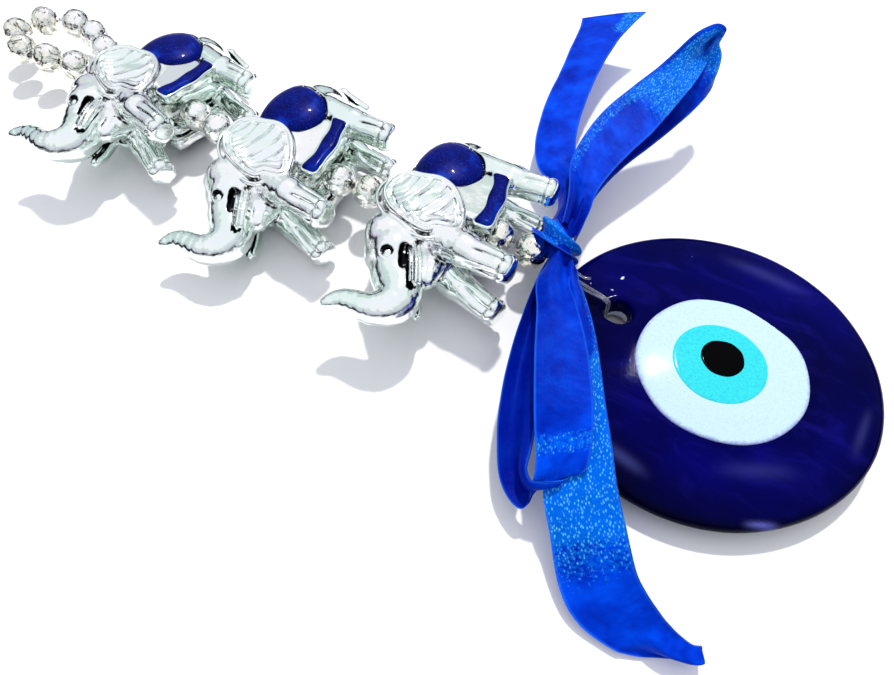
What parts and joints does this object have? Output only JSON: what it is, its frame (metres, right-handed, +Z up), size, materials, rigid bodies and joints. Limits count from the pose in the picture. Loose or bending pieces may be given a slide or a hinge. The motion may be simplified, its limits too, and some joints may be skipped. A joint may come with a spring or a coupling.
{
  "type": "hanging evil eye ornament",
  "caption": "Evil eye ornament: a bead hanging loop, elephant charms and round beads strung on clear line, a satin ribbon bow and a domed blue glass eye disc with a hanging hole.",
  "frame": {"origin": "centre of the glass disc's flat back", "axes": "+X along the string from the hanging loop to the disc, +Z up off the surface it lies on, +Y towards the elephants' tails"},
  "size_m": [0.2133, 0.1411, 0.0236],
  "materials": {
    "cobalt_glass": "glossy opaque cobalt glass",
    "eye_white_glass": "glossy opaque white glass",
    "eye_blue_glass": "glossy opaque light blue glass",
    "eye_black_glass": "glossy opaque black glass",
    "clear_line": "clear nylon",
    "blue_satin": "satin weave",
    "blue_enamel": "glossy enamel",
    "silvered_plastic": "mirror silver coating",
    "silvered_bead": "mirror silver coating",
    "crimp_metal": "pressed metal"
  },
  "bodies": {
    "bow": {"lower_line": "clear_line", "ribbon_knot": "blue_satin", "ribbon_upper_tail": "blue_satin", "ribbon_upper_loop": "blue_satin", "ribbon_lower_loop": "blue_satin", "ribbon_lower_tail": "blue_satin"},
    "disc": {"glass_disc": "cobalt_glass", "eye_white": "eye_white_glass", "eye_iris": "eye_blue_glass", "eye_pupil": "eye_black_glass", "disc_line": "clear_line"},
    "link_3": {"line_3": "clear_line"},
    "link_2": {"line_2": "clear_line"},
    "link_1": {"line_1": "clear_line"},
    "elephant_3": {"elephant_3_body": "silvered_plastic", "elephant_3_saddle": "blue_enamel", "elephant_3_hem": "blue_enamel"},
    "elephant_2": {"elephant_2_body": "silvered_plastic", "elephant_2_saddle": "blue_enamel", "elephant_2_hem": "blue_enamel"},
    "elephant_1": {"elephant_1_body": "silvered_plastic", "elephant_1_saddle": "blue_enamel", "elephant_1_hem": "blue_enamel"},
    "crimp": {"top_crimp": "crimp_metal"},
    "hang_loop": {"loop_line": "clear_line"},
    "spacer_bead_1": {"spacer_bead_1": "silvered_bead"},
    "spacer_bead_2": {"spacer_bead_2": "silvered_bead"},
    "spacer_bead_3": {"spacer_bead_3": "silvered_bead"},
    "spacer_bead_4": {"spacer_bead_4": "silvered_bead"},
    "lower_bead_1": {"lower_bead_1": "silvered_bead"},
    "lower_bead_2": {"lower_bead_2": "silvered_bead"},
    "loop_bead_1": {"loop_bead_1": "silvered_bead"},
    "loop_bead_2": {"loop_bead_2": "silvered_bead"},
    "loop_bead_3": {"loop_bead_3": "silvered_bead"},
    "loop_bead_4": {"loop_bead_4": "silvered_bead"},
    "loop_bead_5": {"loop_bead_5": "silvered_bead"},
    "loop_bead_6": {"loop_bead_6": "silvered_bead"},
    "loop_bead_7": {"loop_bead_7": "silvered_bead"},
    "loop_bead_8": {"loop_bead_8": "silvered_bead"}
  },
  "joints": [
    {"name": "disc_swing", "type": "hinge", "parent": "bow", "child": "disc", "pos_m": [-0.0323, 0.0061, 0.0072], "axis": [0, 0, 1], "range_deg": [-8, 8]},
    {"name": "string_swing_3", "type": "hinge", "parent": "bow", "child": "link_3", "pos_m": [-0.04074, 0.00546, 0.0093], "axis": [0, 0, 1], "range_deg": [-2, 8]},
    {"name": "string_swing_2", "type": "hinge", "parent": "link_3", "child": "link_2", "pos_m": [-0.07598, 0.00262, 0.0093], "axis": [0, 0, 1], "range_deg": [-12, 12]},
    {"name": "string_swing_1", "type": "hinge", "parent": "link_2", "child": "link_1", "pos_m": [-0.10726, 0.00237, 0.0093], "axis": [0, 0, 1], "range_deg": [-12, 12]},
    {"name": "elephant_3_turn", "type": "hinge", "parent": "link_3", "child": "elephant_3", "pos_m": [-0.0539, 0.0044, 0.0093], "axis": [0.9968, 0.0802, 0], "continuous": true},
    {"name": "elephant_2_turn", "type": "hinge", "parent": "link_2", "child": "elephant_2", "pos_m": [-0.09, 0.0025, 0.0093], "axis": [0.9999, 0.0105, 0], "continuous": true},
    {"name": "elephant_1_turn", "type": "hinge", "parent": "link_1", "child": "elephant_1", "pos_m": [-0.1288, 0.0054, 0.0093], "axis": [0.9903, -0.1392, 0], "continuous": true},
    {"name": "crimp_swing", "type": "hinge", "parent": "link_1", "child": "crimp", "pos_m": [-0.14484, 0.00766, 0.0093], "axis": [0, 0, 1], "range_deg": [-20, 20]},
    {"name": "loop_lift", "type": "hinge", "parent": "crimp", "child": "hang_loop", "pos_m": [-0.1484, 0.0083, 0.00875], "axis": [0, 1, 0], "range_deg": [0, 60]},
    {"name": "spacer_bead_1_spin", "type": "hinge", "parent": "link_1", "child": "spacer_bead_1", "pos_m": [-0.11835, 0.00393, 0.0093], "axis": [0.9903, -0.1392, 0], "continuous": true},
    {"name": "spacer_bead_2_spin", "type": "hinge", "parent": "link_1", "child": "spacer_bead_2", "pos_m": [-0.11137, 0.00295, 0.0093], "axis": [0.9903, -0.1392, 0], "continuous": true},
    {"name": "spacer_bead_3_spin", "type": "hinge", "parent": "link_2", "child": "spacer_bead_3", "pos_m": [-0.07955, 0.00261, 0.0093], "axis": [0.9999, 0.0105, 0], "continuous": true},
    {"name": "spacer_bead_4_spin", "type": "hinge", "parent": "link_3", "child": "spacer_bead_4", "pos_m": [-0.07239, 0.00291, 0.0093], "axis": [0.9968, 0.0802, 0], "continuous": true},
    {"name": "lower_bead_1_spin", "type": "hinge", "parent": "link_3", "child": "lower_bead_1", "pos_m": [-0.04453, 0.00515, 0.0093], "axis": [0.9968, 0.0802, 0], "continuous": true},
    {"name": "lower_bead_2_spin", "type": "hinge", "parent": "bow", "child": "lower_bead_2", "pos_m": [-0.0371, 0.0058, 0.00846], "axis": [0.9702, 0.0903, -0.225], "continuous": true},
    {"name": "loop_bead_1_spin", "type": "hinge", "parent": "hang_loop", "child": "loop_bead_1", "pos_m": [-0.1564, 0.0048, 0.008], "axis": [-0.9937, -0.1118, 0], "continuous": true},
    {"name": "loop_bead_2_spin", "type": "hinge", "parent": "hang_loop", "child": "loop_bead_2", "pos_m": [-0.1643, 0.0036, 0.008], "axis": [-0.9943, -0.1063, 0], "continuous": true},
    {"name": "loop_bead_3_spin", "type": "hinge", "parent": "hang_loop", "child": "loop_bead_3", "pos_m": [-0.1723, 0.0031, 0.008], "axis": [-0.9669, 0.2552, 0], "continuous": true},
    {"name": "loop_bead_4_spin", "type": "hinge", "parent": "hang_loop", "child": "loop_bead_4", "pos_m": [-0.1787, 0.0074, 0.008], "axis": [-0.3465, 0.9381, 0], "continuous": true},
    {"name": "loop_bead_5_spin", "type": "hinge", "parent": "hang_loop", "child": "loop_bead_5", "pos_m": [-0.1764, 0.0142, 0.008], "axis": [0.7071, 0.7071, 0], "continuous": true},
    {"name": "loop_bead_6_spin", "type": "hinge", "parent": "hang_loop", "child": "loop_bead_6", "pos_m": [-0.1688, 0.0173, 0.008], "axis": [0.991, 0.1339, 0], "continuous": true},
    {"name": "loop_bead_7_spin", "type": "hinge", "parent": "hang_loop", "child": "loop_bead_7", "pos_m": [-0.1616, 0.0162, 0.008], "axis": [0.9546, -0.2979, 0], "continuous": true},
    {"name": "loop_bead_8_spin", "type": "hinge", "parent": "hang_loop", "child": "loop_bead_8", "pos_m": [-0.1547, 0.0129, 0.008], "axis": [0.7433, -0.669, 0], "continuous": true}
  ]
}
